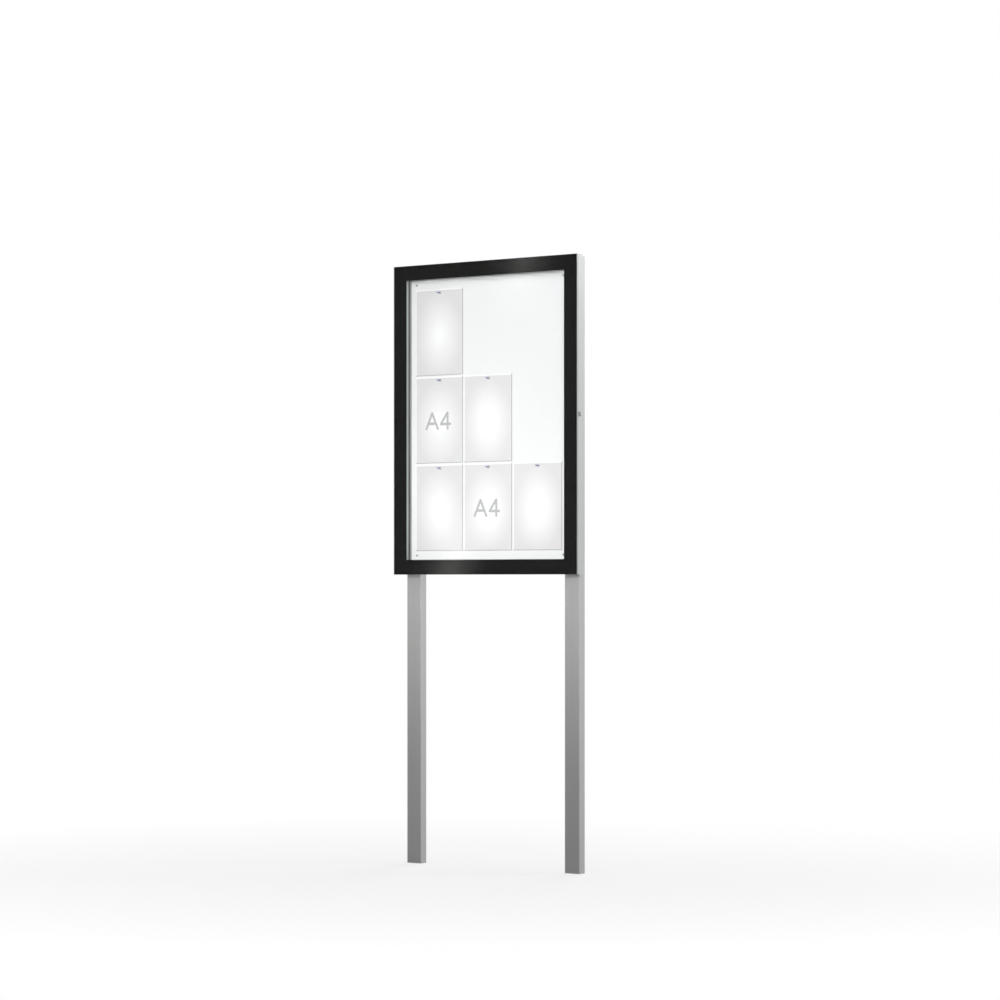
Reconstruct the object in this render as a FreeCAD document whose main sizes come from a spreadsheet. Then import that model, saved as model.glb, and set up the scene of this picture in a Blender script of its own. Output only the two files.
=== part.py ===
import FreeCAD, Part
import math
import os
import re
import Sketcher

# Lockable notice board on two posts: a shallow aluminium case with a hinged glass door.
# Millimetres. X runs across the board, Y from front to back, Z up from the ground.
# The origin lies on the ground midway between the posts, in the middle of their depth.
# "Across" below is measured inwards from the outer face of the case, and "deep" from the
# front face of the door's glass towards the back.

# The driving sizes: each becomes a cell of the sheet with its own alias
SIZES = {
    # Posts and the rails that bridge them
    "post_wide": 62,
    "post_deep": 32,
    "post_wall": 2.5,
    "post_round": 3,
    "post_set": 54,
    "post_drop": 6,
    "cap_thick": 2,
    "cap_skirt": 18,
    "cap_wall": 2,
    "cap_fit": 0.25,
    "rail_deep": 10,
    "rail_tall": 30,
    "rail_wall": 2.5,
    "rail_bolt_dia": 8,
    "rail_bolt_head": 13,
    "rail_bolt_head_high": 5.3,
    "rail_nut_high": 6.5,
    "washer_dia": 16,
    "washer_thick": 1.6,
    "bolt_fit": 0.2,
    "thread_fit": 0.05,
    # Case
    "case_low": 1000,
    "case_deep": 34,
    "border_side": 56,
    "border_end": 51,
    "case_skin": 2,
    "case_wall": 1.8,
    "chamber_deep": 10.5,
    "pane_gap": 2,
    "groove_reach": 12,
    "lip_thick": 1.5,
    "groove_fit": 0.1,
    "panel_thick": 1.2,
    "panel_fit": 0.5,
    "case_bracket_wide": 20,
    "case_bracket_long": 60,
    "case_bracket_set": 8,
    "bracket_fit": 0.3,
    "seal_wide": 8,
    "seal_foot": 2,
    "seal_lean": 1.5,
    "seal_wall": 1.2,
    "seal_set": 2,
    "seal_fit": 0.3,
    # Screws that hold the case to the rails, seen at the corners of the display panel
    "panel_screw_in": 24,
    "panel_screw_up": 15,
    "panel_screw_dia": 4,
    "panel_screw_head": 7.6,
    "panel_screw_head_high": 2.2,
    "panel_screw_long": 12,
    "panel_nut_wide": 7,
    "panel_nut_high": 3.2,
    "spacer_dia": 12,
    # Door
    "glass_thick": 4,
    "glass_edge": 0.5,
    "print_thick": 0.3,
    "door_inset": 26,
    "door_bar_deep": 9.7,
    "door_wall": 1.6,
    "door_bracket_wide": 16,
    "door_bracket_long": 50,
    "door_bracket_set": 3,
    # Hinges
    "pivot_inset": 4,
    "knuckle_dia": 8,
    "hinge_pin_dia": 4,
    "hinge_pin_play": 0.05,
    "knuckle_gap": 0.3,
    "leaf_thick": 1.5,
    "case_leaf_wide": 32,
    "leaf_clear": 2,
    "hinge_tall": 80,
    "hinge_from_end": 150,
    "notch_fit": 0.5,
    "leaf_screw_apart": 50,
    "small_screw_dia": 3,
    "small_screw_head": 5.5,
    "small_screw_head_high": 1.6,
    "small_screw_long": 5,
    "small_screw_fit": 0.1,
    # Lock
    "lock_deep": 16,
    "lock_head_dia": 20,
    "lock_head_high": 2,
    "barrel_dia": 14,
    "barrel_long": 17.5,
    "barrel_fit": 0.1,
    "plug_dia": 9,
    "plug_play": 0.05,
    "plug_proud": 0.3,
    "key_slot_wide": 1.6,
    "key_slot_tall": 6,
    "key_slot_deep": 9,
    "lock_nut_wide": 18,
    "lock_nut_high": 5,
    "recess_fit": 1,
    "cam_thick": 2.5,
    "cam_gap": 0.3,
    "cam_hub": 10,
    "cam_wide": 8,
    "cam_reach": 10.5,
    "cam_seat": 6,
    "cam_screw_head": 7,
    "cam_screw_head_high": 2,
    "cam_screw_dia": 3,
    "cam_screw_long": 7,
    "catch_thick": 1.5,
    "catch_play": 0.5,
    "catch_low": 5.6,
    "catch_tall": 30,
    "catch_screw_apart": 16,
    "catch_gap": 0.5,
    # Notices and the magnets that hold them
    "notice_wide": 210,
    "notice_tall": 297,
    "notice_thick": 0.25,
    "notice_gap": 5,
    "margin_left": 20,
    "margin_right": 28,
    "margin_low": 30.5,
    "margin_top": 32.5,
    "magnet_dia": 10,
    "magnet_thick": 3,
    "magnet_drop": 12,
    "magnet_aside": 4.5,
    "grip_long": 14,
    "grip_dia": 6,
    "grip_waist": 4.4,
}

# Sides of a screw's shank, a washer and other small round fasteners
FACETS = 10

# Notices in a full row and in a full column: the window is as large as they need
COLUMNS = 3
ROWS = 3

# Overall sizes that follow from the driving ones
LAYOUT = {
    "window_wide": "(margin_left + %d * notice_wide + %d * notice_gap + margin_right)"
                   % (COLUMNS, COLUMNS - 1),
    "window_tall": "(margin_low + %d * notice_tall + %d * notice_gap + margin_top)"
                   % (ROWS, ROWS - 1),
    "case_wide": "(window_wide + 2 * border_side)",
    "case_tall": "(window_tall + 2 * border_end)",
    "post_apart": "(case_wide - 2 * post_set)",
    "post_tall": "(case_low + case_tall - post_drop)",
    "panel_screw_apart": "(window_wide - 2 * panel_screw_in)",
    "panel_screw_rise": "(window_tall - 2 * panel_screw_up)",
}

# Places that several pieces share
FRONT = "(-post_deep / 2 - rail_deep - case_deep)"
MIDDLE = "(case_low + case_tall / 2)"
PRINT_REAR = "(glass_thick + print_thick)"
DOOR_REAR = "(glass_thick + print_thick + door_bar_deep)"
PIVOT = "(" + DOOR_REAR + " + leaf_thick - knuckle_dia / 2)"
WALL_FRONT = "(glass_thick + pane_gap)"
CHAMBER = "(case_deep - chamber_deep)"
GROOVE_REAR = "(case_deep - lip_thick)"
PANEL_FRONT = "(case_deep - lip_thick - groove_fit - panel_thick)"
RAIL_WEB = "(case_deep + rail_wall)"
BARREL_END = "(-barrel_long)"
CAM_REAR = "(-barrel_long - cam_gap - cam_thick)"
LEAF_END = "(border_side - seal_set - seal_wide - leaf_clear)"
LEAF_SCREW = "((door_inset + " + LEAF_END + ") / 2)"

doc = FreeCAD.newDocument("notice_board")
sheet = doc.addObject("Spreadsheet::Sheet", "Sizes")
parts = []


def fill_sheet():
    """Put every driving size in the spreadsheet under its own name."""
    for row, (name, value) in enumerate(SIZES.items(), start=1):
        sheet.set("A%d" % row, name)
        sheet.set("B%d" % row, str(value))
        sheet.setAlias("B%d" % row, name)
    doc.recompute()


def bound(expression):
    """An expression with the spreadsheet's name before each driving size."""
    def named(match):
        word = match.group()
        if word in LAYOUT:
            return bound(LAYOUT[word])
        return "Sizes." + word if word in SIZES else word
    return re.sub(r"[a-z_]+", named, expression)


def value(expression):
    """The number that an expression of sizes comes to."""
    return float(sheet.evalExpression(bound(expression)))


def signed(expression, sign):
    """The expression, turned negative on the right-hand or upper side."""
    return expression if sign > 0 else "-(%s)" % expression


def put(thing, x="0", y="0", z="0"):
    """Place a piece at a point given by sizes."""
    for axis, expression in (("x", x), ("y", y), ("z", z)):
        thing.setExpression("Placement.Base." + axis, bound(expression))


def new_body(label):
    body = doc.addObject("PartDesign::Body", label)
    body.Label = label
    parts.append(body)
    return body


def new_sketch(body, role, name, start="0"):
    """A sketch on one of the body's own planes, moved along the plane's normal."""
    sketch = body.newObject("Sketcher::SketchObject", name)
    plane = [item for item in body.Origin.OriginFeatures if item.Role == role][0]
    sketch.AttachmentSupport = (plane, [""])
    sketch.MapMode = "FlatFace"
    sketch.setExpression("AttachmentOffset.Base.z", bound(start))
    return sketch


def measure(sketch, kind, geometry, point, expression):
    """Tie a point of the sketch to its origin with a distance from the sheet."""
    amount = value(expression)
    if abs(amount) < 1e-9:
        target = -2 if kind == "DistanceX" else -1
        sketch.addConstraint(Sketcher.Constraint("PointOnObject", geometry, point, target))
        return
    index = sketch.addConstraint(
        Sketcher.Constraint(kind, -1, 1, geometry, point, amount))
    sketch.setExpression("Constraints[%d]" % index, bound(expression))


def outline(sketch, corners):
    """A closed outline through corners given by sizes."""
    first = sketch.GeometryCount
    count = len(corners)
    points = [FreeCAD.Vector(value(x), value(y), 0) for x, y in corners]
    for i in range(count):
        sketch.addGeometry(Part.LineSegment(points[i], points[(i + 1) % count]), False)
    for i in range(count):
        following = first + (i + 1) % count
        sketch.addConstraint(Sketcher.Constraint("Coincident", first + i, 2, following, 1))
    for i, (x, y) in enumerate(corners):
        measure(sketch, "DistanceX", first + i, 1, x)
        measure(sketch, "DistanceY", first + i, 1, y)


def rectangle(sketch, left, low, right, high):
    outline(sketch, [(left, low), (right, low), (right, high), (left, high)])


def circle(sketch, x, y, radius):
    """A circle whose centre and radius are given by sizes."""
    centre = FreeCAD.Vector(value(x), value(y), 0)
    normal = FreeCAD.Vector(0, 0, 1)
    index = sketch.addGeometry(Part.Circle(centre, normal, value(radius)), False)
    measure(sketch, "DistanceX", index, 3, x)
    measure(sketch, "DistanceY", index, 3, y)
    size = sketch.addConstraint(Sketcher.Constraint("Radius", index, value(radius)))
    sketch.setExpression("Constraints[%d]" % size, bound(radius))


def pad(body, sketch, length):
    feature = body.newObject("PartDesign::Pad", sketch.Name + "_pad")
    feature.Profile = sketch
    feature.setExpression("Length", bound(length))
    doc.recompute()
    return feature


def cut(body, sketch, length=None, forward=False):
    """Cut a sketch through the body, or to a length along or against its normal."""
    before = body.Shape.Volume
    feature = body.newObject("PartDesign::Pocket", sketch.Name + "_cut")
    feature.Profile = sketch
    if length is None:
        feature.Type = "ThroughAll"
        feature.Midplane = True
    else:
        feature.setExpression("Length", bound(length))
        feature.Reversed = forward
    doc.recompute()
    if not body.Shape.Volume < before:
        raise RuntimeError(body.Label + ": " + sketch.Name + " cuts nothing")
    return feature


def revolve(body, sketch):
    """Turn a sketch about its own horizontal axis."""
    feature = body.newObject("PartDesign::Revolution", sketch.Name + "_turned")
    feature.Profile = sketch
    feature.ReferenceAxis = (sketch, ["H_Axis"])
    feature.Angle = 360
    doc.recompute()
    return feature


def round_edges(body, feature, chosen, radius, kind="PartDesign::Fillet"):
    """Round or bevel the feature's edges that the test picks."""
    names = ["Edge%d" % (i + 1) for i, edge in enumerate(feature.Shape.Edges) if chosen(edge)]
    rounding = body.newObject(kind, feature.Name + "_edges")
    rounding.Base = (feature, names)
    size = "Size" if kind == "PartDesign::Chamfer" else "Radius"
    rounding.setExpression(size, bound(radius))
    doc.recompute()
    return rounding


def upright(edge):
    """True for an edge that runs along Z."""
    box = edge.BoundBox
    return box.ZLength > max(box.XLength, box.YLength) and box.XLength + box.YLength < 1e-6


def group(label, solid, places):
    """Alike solids that share one name, each moved to its own place."""
    feature = doc.addObject("Part::Feature", label)
    feature.Label = label
    copies = []
    for place in places:
        copy = solid.copy()
        copy.translate(FreeCAD.Vector(*place))
        copies.append(copy)
    feature.Shape = Part.makeCompound(copies)
    feature.Placement = FreeCAD.Placement()
    parts.append(feature)
    return feature


def slice_wire(corner, sides, y):
    """A regular outline square to Y, with a corner straight up."""
    points = []
    for i in range(sides + 1):
        turn = math.radians(90) + 2 * math.pi * i / sides
        points.append(FreeCAD.Vector(corner * math.cos(turn), y, corner * math.sin(turn)))
    return Part.makePolygon(points)


def prism(corner, sides, start, end):
    """A many-sided bar along Y, from start to end."""
    outline_wire = slice_wire(corner, sides, start)
    return Part.Face(outline_wire).extrude(FreeCAD.Vector(0, end - start, 0))


def ring(solid, bore, start, end):
    """The solid with a bore of that radius along Y."""
    corner = bore / math.cos(math.pi / FACETS)
    return solid.cut(prism(corner, FACETS, start, end))


def screw(name, run):
    """A small screw along Y from its seat at the origin: its shank forwards of the head."""
    shank, head = value(name + "_dia / 2"), value(name + "_head / 2")
    high = value(name + "_head_high")
    body = prism(shank, FACETS, -run, 0).fuse(prism(head, FACETS, 0, high))
    return body.removeSplitter()


# Posts

def post(label, side):
    """A rectangular steel tube, open at its foot, drilled for the rail bolts."""
    body = new_body(label)
    tube = new_sketch(body, "XY_Plane", label + "_section")
    half_wide, half_deep = "post_wide / 2", "post_deep / 2"
    rectangle(tube, "-" + half_wide, "-" + half_deep, half_wide, half_deep)
    inner_wide = "(post_wide / 2 - post_wall)"
    inner_deep = "(post_deep / 2 - post_wall)"
    rectangle(tube, "-" + inner_wide, "-" + inner_deep, inner_wide, inner_deep)
    run = pad(body, tube, "post_tall")
    half = value("post_wide / 2 - post_wall / 2")
    round_edges(body, run, lambda e: upright(e) and abs(e.BoundBox.XMin) > half, "post_round")
    holes = new_sketch(body, "XZ_Plane", label + "_bolt_holes")
    for rise in ("panel_screw_rise / 2", "-panel_screw_rise / 2"):
        circle(holes, "0", MIDDLE + " + " + rise, "rail_bolt_dia / 2 + bolt_fit")
    cut(body, holes)
    put(body, x=signed("post_apart / 2", side))


def post_cap(label, side):
    """A moulded plug that closes the tube: a flat top and a skirt pushed inside."""
    body = new_body(label)
    top = new_sketch(body, "XY_Plane", label + "_top")
    half_wide, half_deep = "post_wide / 2", "post_deep / 2"
    rectangle(top, "-" + half_wide, "-" + half_deep, half_wide, half_deep)
    plate = pad(body, top, "cap_thick")
    round_edges(body, plate, upright, "post_round")
    skirt = new_sketch(body, "XY_Plane", label + "_skirt", "-cap_skirt")
    wide = "(post_wide / 2 - post_wall - cap_fit)"
    deep = "(post_deep / 2 - post_wall - cap_fit)"
    rectangle(skirt, "-" + wide, "-" + deep, wide, deep)
    wide = "(post_wide / 2 - post_wall - cap_fit - cap_wall)"
    deep = "(post_deep / 2 - post_wall - cap_fit - cap_wall)"
    rectangle(skirt, "-" + wide, "-" + deep, wide, deep)
    pad(body, skirt, "cap_skirt")
    put(body, x=signed("post_apart / 2", side), z="post_tall")


# Rails

def rail(label, level):
    """A channel, open to the back, that spans both posts and carries the case."""
    body = new_body(label)
    section = new_sketch(body, "YZ_Plane", label + "_section")
    half, inner = "rail_tall / 2", "(rail_tall / 2 - rail_wall)"
    outline(section, [
        ("0", "-" + half), ("rail_deep", "-" + half), ("rail_deep", "-" + inner),
        ("rail_wall", "-" + inner), ("rail_wall", inner), ("rail_deep", inner),
        ("rail_deep", half), ("0", half)])
    pad(body, section, "post_apart + post_wide")
    holes = new_sketch(body, "XZ_Plane", label + "_holes")
    centre = "(post_apart + post_wide) / 2"
    for side in ("+", "-"):
        circle(holes, centre + side + "post_apart / 2", "0", "rail_bolt_dia / 2 + bolt_fit")
        circle(holes, centre + side + "panel_screw_apart / 2", "0",
               "panel_screw_dia / 2 + bolt_fit")
    cut(body, holes)
    put(body, "-(post_apart + post_wide) / 2", FRONT + " + case_deep", MIDDLE + level)


def hexagon(flats, high):
    """A hexagonal blank along Y with that distance between its flats."""
    sides = 6
    return prism(flats / 2 / math.cos(math.pi / sides), sides, 0, high)


def rail_fasteners():
    """Bolts through the posts from behind, their washers, and nuts welded in the rails."""
    head = value("rail_bolt_head")
    washer, hole = value("washer_thick"), value("rail_bolt_dia / 2 + bolt_fit")
    rear = value("post_deep / 2")
    web = value(FRONT + " + " + RAIL_WEB)
    x = value("post_apart / 2")
    levels = [value(MIDDLE + sign + "panel_screw_rise / 2") for sign in (" + ", " - ")]
    spots = [(side * x, level) for side in (-1, 1) for level in levels]
    bolt = hexagon(head, value("rail_bolt_head_high"))
    shank = prism(value("rail_bolt_dia / 2"), FACETS, web - rear - washer, 0)
    bolt = bolt.fuse(shank).removeSplitter()
    group("rail_bolts", bolt, [(a, rear + washer, b) for a, b in spots])
    disc = ring(prism(value("washer_dia / 2"), FACETS, 0, washer), hole, 0, washer)
    group("rail_washers", disc, [(a, rear, b) for a, b in spots])
    high = value("rail_nut_high")
    nut = ring(hexagon(head, high), value("rail_bolt_dia / 2 + thread_fit"), 0, high)
    group("rail_nuts", nut, [(a, web, b) for a, b in spots])


# Mitred bars of the case and of the door

def side_bar(label, side, start, loops):
    """An upright extrusion with its section given across and deep, mitred at both ends."""
    body = new_body(label)
    section = new_sketch(body, "XY_Plane", label + "_section")
    for loop in loops:
        outline(section, [(signed(across, side), deep) for across, deep in loop])
    pad(body, section, "case_tall")
    mitre = new_sketch(body, "XZ_Plane", label + "_mitres")
    far = "border_side + case_deep"
    low = [(start, start), ("border_side", "border_end"), (far, "border_end"),
           (far, "-case_deep"), (start + " - case_deep", "-case_deep"),
           (start + " - case_deep", start)]
    outline(mitre, [(signed(x, side), z) for x, z in low])
    outline(mitre, [(signed(x, side), "case_tall - (%s)" % z) for x, z in low])
    cut(body, mitre)
    put(body, signed("-case_wide / 2", side), FRONT, "case_low")
    return body


def end_bar(label, way, start, loops):
    """A level extrusion with its section given across and deep, mitred at both ends."""
    body = new_body(label)
    section = new_sketch(body, "YZ_Plane", label + "_section")
    for loop in loops:
        outline(section, [(deep, signed(across, way)) for across, deep in loop])
    pad(body, section, "case_wide")
    mitre = new_sketch(body, "XZ_Plane", label + "_mitres")
    far = "border_end + case_deep"
    left = [(start, start), ("border_side", "border_end"), ("border_side", far),
            ("-case_deep", far), ("-case_deep", start + " - case_deep"),
            (start, start + " - case_deep")]
    outline(mitre, [(x, signed(z, way)) for x, z in left])
    outline(mitre, [("case_wide - (%s)" % x, signed(z, way)) for x, z in left])
    cut(body, mitre)
    level = "case_low" if way > 0 else "case_low + case_tall"
    put(body, "-case_wide / 2", FRONT, level)
    return body


def case_section(border):
    """An outer wall that runs forward, a closed chamber, and a groove for the panel."""
    inner = border + " - groove_reach"
    shell = [
        ("0", WALL_FRONT), ("case_skin", WALL_FRONT), ("case_skin", CHAMBER),
        (border, CHAMBER), (border, PANEL_FRONT), (inner, PANEL_FRONT),
        (inner, GROOVE_REAR), (border, GROOVE_REAR), (border, "case_deep"),
        ("0", "case_deep")]
    hollow = [
        ("case_skin", CHAMBER + " + case_wall"),
        (border + " - case_wall", CHAMBER + " + case_wall"),
        (border + " - case_wall", PANEL_FRONT + " - case_wall"),
        (inner + " - case_wall", PANEL_FRONT + " - case_wall"),
        (inner + " - case_wall", "case_deep - case_wall"),
        ("case_skin", "case_deep - case_wall")]
    return [shell, hollow]


def hinge_levels():
    """Heights of the hinges' middles above the lower edge of the case."""
    return ["hinge_from_end", "(case_tall - hinge_from_end)"]


def case_left():
    """The hinge side: its outer wall is notched where the hinge knuckles turn."""
    body = side_bar("case_left", 1, "0", case_section("border_side"))
    notches = new_sketch(body, "YZ_Plane", "case_left_notches")
    for level in hinge_levels():
        half = "(hinge_tall / 2 + notch_fit)"
        rectangle(notches, "glass_thick", level + " - " + half,
                  PIVOT + " + knuckle_dia / 2 + notch_fit", level + " + " + half)
    cut(body, notches, "case_skin", forward=True)
    holes = new_sketch(body, "XZ_Plane", "case_left_screw_holes", "-" + CHAMBER)
    for level in hinge_levels():
        for side in (" + ", " - "):
            circle(holes, "(case_skin + case_leaf_wide) / 2",
                   level + side + "leaf_screw_apart / 2",
                   "small_screw_dia / 2 + small_screw_fit")
    cut(body, holes, "case_wall")


def case_right():
    """The lock side: drilled for the lock, with a recess for the lock's nut."""
    body = side_bar("case_right", -1, "0", case_section("border_side"))
    hole = new_sketch(body, "YZ_Plane", "case_right_lock_hole")
    circle(hole, "lock_deep", "case_tall / 2", "barrel_dia / 2 + barrel_fit")
    cut(body, hole, "case_skin", forward=False)
    recess = new_sketch(body, "XZ_Plane", "case_right_recess", "-" + CHAMBER)
    half = "(lock_nut_wide / 2 / cos(30) + recess_fit)"
    rectangle(recess, "-(case_skin + lock_nut_high + recess_fit)", "case_tall / 2 - " + half,
              "-case_skin", "case_tall / 2 + " + half)
    cut(body, recess, "case_wall")


def case_ends():
    """The top and the bottom of the case."""
    end_bar("case_bottom", 1, "0", case_section("border_end"))
    end_bar("case_top", -1, "0", case_section("border_end"))


def corner_brackets(label, start, wide, long, front, rear):
    """Four angle pieces that join the mitred bars from inside their hollows."""
    a, w, run = value(start), value(wide), value(long)
    low, high = value(front), value(rear)
    corners = [(a, a), (a + run, a), (a + run, a + w), (a + w, a + w), (a + w, a + run),
               (a, a + run)]
    feature = doc.addObject("Part::Feature", label)
    feature.Label = label
    half_wide, tall = value("case_wide / 2"), value("case_tall")
    front_y, base = value(FRONT), value("case_low")
    brackets = []
    for side in (-1, 1):
        for way in (-1, 1):
            points = []
            for x, z in corners + corners[:1]:
                height = base + z if way < 0 else base + tall - z
                points.append(FreeCAD.Vector(side * (half_wide - x), front_y + low, height))
            face = Part.Face(Part.makePolygon(points))
            brackets.append(face.extrude(FreeCAD.Vector(0, high - low, 0)))
    feature.Shape = Part.makeCompound(brackets)
    feature.Placement = FreeCAD.Placement()
    parts.append(feature)


def display_panel():
    """The white steel sheet, its edges in the groove of the four bars."""
    body = new_body("display_panel")
    plate = new_sketch(body, "XZ_Plane", "panel_outline")
    wide = "(window_wide / 2 + groove_reach - panel_fit)"
    tall = "(window_tall / 2 + groove_reach - panel_fit)"
    rectangle(plate, "-" + wide, "-" + tall, wide, tall)
    for x in ("panel_screw_apart / 2", "-panel_screw_apart / 2"):
        for z in ("panel_screw_rise / 2", "-panel_screw_rise / 2"):
            circle(plate, x, z, "panel_screw_dia / 2 + bolt_fit")
    pad(body, plate, "panel_thick")
    put(body, "0", FRONT + " + " + PANEL_FRONT + " + panel_thick", MIDDLE)


def panel_fasteners():
    """Screws through the panel's corners, spacers behind it, and nuts behind the rails."""
    front = value(FRONT + " + " + PANEL_FRONT)
    back = value(FRONT + " + " + PANEL_FRONT + " + panel_thick")
    web = value(FRONT + " + " + RAIL_WEB)
    x, z, middle = value("panel_screw_apart / 2"), value("panel_screw_rise / 2"), value(MIDDLE)
    spots = [(side * x, middle + way * z) for side in (-1, 1) for way in (-1, 1)]
    bolt = screw("panel_screw", value("panel_screw_long"))
    bolt.rotate(FreeCAD.Vector(0, 0, 0), FreeCAD.Vector(0, 0, 1), 180)
    group("panel_screws", bolt, [(a, front, b) for a, b in spots])
    gap = value("lip_thick + groove_fit")
    disc = prism(value("spacer_dia / 2"), FACETS, 0, gap)
    disc = ring(disc, value("panel_screw_dia / 2 + bolt_fit"), 0, gap)
    group("panel_spacers", disc, [(a, back, b) for a, b in spots])
    high = value("panel_nut_high")
    nut = hexagon(value("panel_nut_wide"), high)
    nut = ring(nut, value("panel_screw_dia / 2 + thread_fit"), 0, high)
    group("panel_nuts", nut, [(a, web, b) for a, b in spots])


def seal_section():
    """A hollow rubber strip on the chamber, its crown just behind the door's frame."""
    crown = DOOR_REAR + " + seal_fit"
    foot = CHAMBER + " - seal_foot"
    shell = [("0", CHAMBER), ("seal_wide", CHAMBER), ("seal_wide", foot),
             ("seal_wide - seal_lean", crown), ("seal_lean", crown), ("0", foot)]
    hollow = [("seal_wall", foot), ("seal_wide - seal_wall", foot),
              ("seal_wide - seal_lean - seal_wall", crown + " + seal_wall"),
              ("seal_lean + seal_wall", crown + " + seal_wall")]
    return [shell, hollow]


def seals():
    """Four strips round the window: the upright ones run through, the level ones butt."""
    reach = "(border_end - seal_set - seal_wide)"
    for label, side in (("seal_left", 1), ("seal_right", -1)):
        body = new_body(label)
        section = new_sketch(body, "XY_Plane", label + "_section")
        shift = "border_side - seal_set - seal_wide"
        for loop in seal_section():
            outline(section, [(signed(shift + " + " + u, side), v) for u, v in loop])
        pad(body, section, "case_tall - 2 * " + reach)
        put(body, signed("-case_wide / 2", side), FRONT, "case_low + " + reach)
    for label, way in (("seal_bottom", 1), ("seal_top", -1)):
        body = new_body(label)
        section = new_sketch(body, "YZ_Plane", label + "_section")
        for loop in seal_section():
            outline(section, [(v, signed(reach + " + " + u, way)) for u, v in loop])
        pad(body, section, "case_wide - 2 * (border_side - seal_set + seal_fit)")
        level = "case_low" if way > 0 else "case_low + case_tall"
        put(body, "-case_wide / 2 + border_side - seal_set + seal_fit", FRONT, level)


# Door

def door_glass():
    """The toughened pane that covers the whole front, its edges ground."""
    body = new_body("door_glass")
    pane = new_sketch(body, "XZ_Plane", "pane_outline")
    rectangle(pane, "-case_wide / 2", "-case_tall / 2", "case_wide / 2", "case_tall / 2")
    slab = pad(body, pane, "glass_thick")
    front = -value("glass_thick")
    on_front = lambda edge: edge.BoundBox.YMax < front / 2
    round_edges(body, slab, on_front, "glass_edge", "PartDesign::Chamfer")
    put(body, "0", FRONT + " + glass_thick", MIDDLE)


def border_print():
    """The black border fused to the back of the pane, round the clear window."""
    body = new_body("border_print")
    ring = new_sketch(body, "XZ_Plane", "border_outline")
    rectangle(ring, "-case_wide / 2", "-case_tall / 2", "case_wide / 2", "case_tall / 2")
    wide = "window_wide / 2"
    tall = "window_tall / 2"
    rectangle(ring, "-" + wide, "-" + tall, wide, tall)
    pad(body, ring, "print_thick")
    put(body, "0", FRONT + " + " + PRINT_REAR, MIDDLE)


def door_section(border):
    """A closed box section bonded behind the border."""
    inner = border + " - door_wall"
    shell = [("door_inset", PRINT_REAR), (border, PRINT_REAR), (border, DOOR_REAR),
             ("door_inset", DOOR_REAR)]
    hollow = [("door_inset + door_wall", PRINT_REAR + " + door_wall"),
              (inner, PRINT_REAR + " + door_wall"), (inner, DOOR_REAR + " - door_wall"),
              ("door_inset + door_wall", DOOR_REAR + " - door_wall")]
    return [shell, hollow]


def door_frame():
    """Four mitred bars behind the border, drilled for the hinges and the catch."""
    left = side_bar("door_left", 1, "door_inset", door_section("border_side"))
    holes = new_sketch(left, "XZ_Plane", "door_left_holes", "-" + DOOR_REAR)
    for level in hinge_levels():
        for side in (" + ", " - "):
            circle(holes, LEAF_SCREW,
                   level + side + "leaf_screw_apart / 2",
                   "small_screw_dia / 2 + small_screw_fit")
    cut(left, holes, "door_wall", forward=True)
    right = side_bar("door_right", -1, "door_inset", door_section("border_side"))
    holes = new_sketch(right, "XZ_Plane", "door_right_holes", "-" + DOOR_REAR)
    for side in (" + ", " - "):
        circle(holes, "-" + LEAF_SCREW,
               "case_tall / 2 + catch_low + catch_tall / 2" + side + "catch_screw_apart / 2",
               "small_screw_dia / 2 + small_screw_fit")
    cut(right, holes, "door_wall", forward=True)
    end_bar("door_bottom", 1, "door_inset", door_section("border_end"))
    end_bar("door_top", -1, "door_inset", door_section("border_end"))


# Hinges

def leaf(label, plate, bands, level):
    """A hinge leaf: a folded plate with a knuckle round the pin, cut away in bands."""
    body = new_body(label)
    fold = new_sketch(body, "XY_Plane", label + "_plate")
    outline(fold, plate)
    pad(body, fold, "hinge_tall")
    knuckle = new_sketch(body, "XY_Plane", label + "_knuckle")
    circle(knuckle, "pivot_inset", PIVOT, "knuckle_dia / 2")
    pad(body, knuckle, "hinge_tall")
    for number, (start, length) in enumerate(bands):
        gap = new_sketch(body, "XY_Plane", "%s_gap_%d" % (label, number), start)
        reach = "(knuckle_dia / 2 + knuckle_gap)"
        rectangle(gap, "pivot_inset - " + reach, PIVOT + " - " + reach,
                  "pivot_inset + " + reach, PIVOT + " + " + reach)
        cut(body, gap, length, forward=True)
    bore = new_sketch(body, "XY_Plane", label + "_bore")
    circle(bore, "pivot_inset", PIVOT, "hinge_pin_dia / 2 + hinge_pin_play")
    cut(body, bore)
    put(body, "-case_wide / 2", FRONT, "case_low + " + level + " - hinge_tall / 2")
    return body


def drill_leaf(body, label, across):
    """Two screw holes through the flat of a leaf."""
    holes = new_sketch(body, "XZ_Plane", label + "_holes")
    for side in (" + ", " - "):
        circle(holes, across, "hinge_tall / 2" + side + "leaf_screw_apart / 2",
               "small_screw_dia / 2 + small_screw_fit")
    cut(body, holes)


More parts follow.
